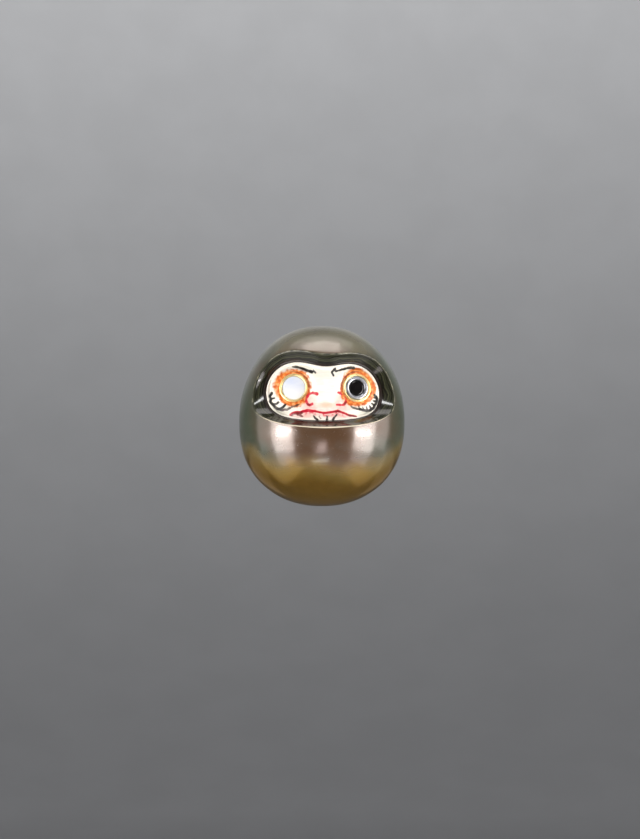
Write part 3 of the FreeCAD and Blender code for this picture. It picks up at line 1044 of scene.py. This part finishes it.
def make_floor():
    """Pale floor that curves up all round, far from the doll."""
    around = 96
    sweep_rows = 16
    profile = [(radius, 0.0) for radius in (0.1, 30, 80, 160, 260, FLOOR_RADIUS)]
    for i in range(1, sweep_rows + 1):
        angle = math.radians(90 * i / sweep_rows)
        profile.append((FLOOR_RADIUS + SWEEP_RADIUS * math.sin(angle),
                        SWEEP_RADIUS * (1 - math.cos(angle))))
    wall_top = SWEEP_RADIUS * 2.5
    profile.append((FLOOR_RADIUS + SWEEP_RADIUS, wall_top))
    angle = np.arange(around) * 2 * math.pi / around
    loops = [np.stack([radius * np.cos(angle), radius * np.sin(angle),
                       np.full(around, height - FLOOR_DROP)], 1) for radius, height in profile]
    obj = make_object("floor", np.concatenate(loops),
                      ring_quads(len(loops), around, closed=False), [floor_material()])
    return obj


def way_out(azimuth, elevation):
    """Direction away from the doll; azimuth 0 is in front of it, 90 to the viewer's right."""
    a, e = math.radians(azimuth), math.radians(elevation)
    return Vector((math.sin(a) * math.cos(e), -math.cos(a) * math.cos(e), math.sin(e)))


def look_at(obj, target):
    """Turn a light or the camera towards a point."""
    way = Vector(target) - obj.location
    obj.rotation_euler = way.to_track_quat("-Z", "Y").to_euler()


def add_panel(name, azimuth, elevation, distance, width, height, power, colour=(1, 1, 1)):
    """Soft rectangular light aimed at the doll's middle, with its sizes in millimetres."""
    light = bpy.data.lights.new(name, "AREA")
    light.shape = "RECTANGLE"
    light.size = width * MM
    light.size_y = height * MM
    light.energy = power
    light.color = colour
    obj = bpy.data.objects.new(name, light)
    middle = Vector((0, 0, PEARL_HEIGHT / 2 * MM))
    obj.location = middle + way_out(azimuth, elevation) * distance * MM
    obj.visible_camera = False
    bpy.context.scene.collection.objects.link(obj)
    look_at(obj, middle)
    return obj


def make_lights():
    """Two lit walls to the sides, soft light from above, a few small lights in front.

    The walls are dimmer towards the floor and the back. The fill is left out of reflections,
    and the last light is turned away from the doll, to the backdrop.
    """
    pink_white = (1.0, 0.94, 0.93)
    add_panel("left_wall", -60.5, -3, 120, 68, 110, 0.15, pink_white)
    add_panel("left_strip", -56, -8, 118, 50, 7, 0.03, pink_white)
    add_panel("left_low", -84, -42, 80, 80, 60, 0.007, pink_white)
    add_panel("left_foot", -63, -35, 118, 56, 30, 0.0085, pink_white)
    add_panel("left_back", -91, 2, 120, 48, 100, 0.018, pink_white)
    add_panel("left_behind", -137, -26, 130, 120, 50, 0.0048, pink_white)
    add_panel("right_wall", 59.5, -3, 120, 76, 110, 0.165, pink_white)
    add_panel("right_strip", 56, -8, 118, 50, 7, 0.03, pink_white)
    add_panel("right_low", 84, -42, 80, 80, 60, 0.007, pink_white)
    add_panel("right_foot", 61, -35, 118, 62, 30, 0.0085, pink_white)
    add_panel("right_back", 91, 2, 120, 48, 100, 0.027, pink_white)
    add_panel("right_behind", 131, -26, 130, 120, 50, 0.0048, pink_white)
    add_panel("overhead", 180, 88, 150, 105, 62, 0.045, pink_white)
    add_panel("overhead_halo", 180, 82, 152, 160, 110, 0.05, pink_white)
    add_panel("ceiling", 180, 84, 170, 320, 320, 0.04)
    add_panel("front_key", 13, 52, 130, 40, 12, 0.04)
    add_panel("front_card", -4, -45, 120, 36, 8, 0.006, (0.86, 0.96, 1.0))
    add_panel("front_glow", -4, -27, 120, 24, 26, 0.007, (1.0, 0.88, 0.9))
    fill = add_panel("fill", -5, 5, 300, 200, 200, 0.06)
    fill.visible_glossy = False
    behind = add_panel("backdrop_light", 180, -20, 170, 300, 60, 1.6)
    behind.data.spread = math.radians(110)
    look_at(behind, behind.location + Vector((0, 0.6, 0.8)))
    world = bpy.data.worlds.new("studio")
    bpy.context.scene.world = world
    world.use_nodes = True
    background = world.node_tree.nodes["Background"]
    background.inputs["Color"].default_value = (0.98, 0.99, 1.0, 1)
    background.inputs["Strength"].default_value = 0.18


VIEW_AZIMUTH = -3.0
VIEW_ELEVATION = 0.0
LENS = 200.0
VIEW_DISTANCE = 352.0
AIM = (-0.14, 0.0, 6.54)


def make_camera():
    """Long lens, about as high as the doll's middle and a little to the doll's right."""
    data = bpy.data.cameras.new("camera")
    data.lens = LENS
    data.sensor_width = 36.0
    data.clip_start = 0.01
    data.clip_end = 10.0
    camera = bpy.data.objects.new("camera", data)
    aim = Vector(AIM) * MM
    camera.location = aim + way_out(VIEW_AZIMUTH, VIEW_ELEVATION) * VIEW_DISTANCE * MM
    bpy.context.scene.collection.objects.link(camera)
    look_at(camera, aim)
    bpy.context.scene.camera = camera


# ---------------------------------------------------------------- put together

make_camera()
make_floor()
make_lights()
make_nacre()
make_conchiolin()
make_bead()
gold_metal = metal_material("gold", rgba(255, 232, 170), rgba(255, 222, 140), 0.34)
make_bezel("right", -1, gold_metal)
make_bezel("left", 1, gold_metal)
make_disc()
make_iris_ring()
make_pupil()

bpy.context.scene.view_settings.view_transform = "Standard"
bpy.context.view_layer.update()
